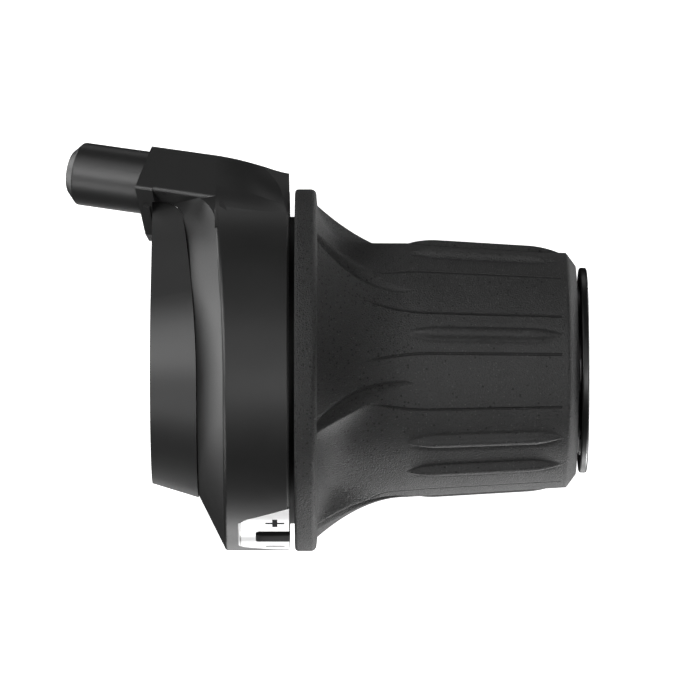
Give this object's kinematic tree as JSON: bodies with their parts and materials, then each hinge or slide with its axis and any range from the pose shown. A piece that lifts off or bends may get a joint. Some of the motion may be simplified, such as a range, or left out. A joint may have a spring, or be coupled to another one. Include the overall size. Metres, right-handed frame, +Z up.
{
  "type": "twist grip shifter",
  "caption": "Right-hand handlebar twist shifter: ribbed rubber grip with a flange, drum housing with display window, split clamp collar and angled cable outlet.",
  "frame": {"origin": "on the handlebar axis, in the middle of the running gap between the housing drum and the grip flange", "axes": "+X outboard along the handlebar, +Y forward on the cable side, +Z up; the picture looks straight down -Z"},
  "size_m": [0.0778, 0.0611, 0.054],
  "materials": {
    "housing_plastic": "satin moulded",
    "collar_plastic": "satin moulded",
    "nozzle_plastic": "satin moulded",
    "disc_plastic": "semi-gloss black",
    "core_plastic": "plain black",
    "number_plastic": "plain black",
    "window_white": "glossy white",
    "sleeve_nylon": "smooth bearing plastic",
    "spool_nylon": "natural nylon",
    "fastener_steel": "zinc plated",
    "spring_steel": "blued strip",
    "grip_rubber": "matte, finely grained"
  },
  "bodies": {
    "housing": {"housing": "housing_plastic", "clamp_collar": "collar_plastic", "bar_sleeve": "sleeve_nylon", "end_disc": "disc_plastic", "clamp_bolt": "fastener_steel", "clamp_nut": "fastener_steel", "collar_screws": "fastener_steel", "casing_nozzle": "nozzle_plastic", "cable_liner": "sleeve_nylon", "display_window": "window_white", "port_plug": "disc_plastic", "thrust_washer": "sleeve_nylon", "click_spring": "spring_steel"},
    "grip": {"grip_core": "core_plastic", "grip_rubber": "grip_rubber", "cable_spool": "spool_nylon", "detent_ring": "spool_nylon", "number_ring": "number_plastic"}
  },
  "joints": [
    {"name": "grip_twist", "type": "hinge", "parent": "housing", "child": "grip", "pos_m": [0, 0, 0], "axis": [1, 0, 0], "range_deg": [0, 72], "deforming": ["click_spring"]}
  ]
}
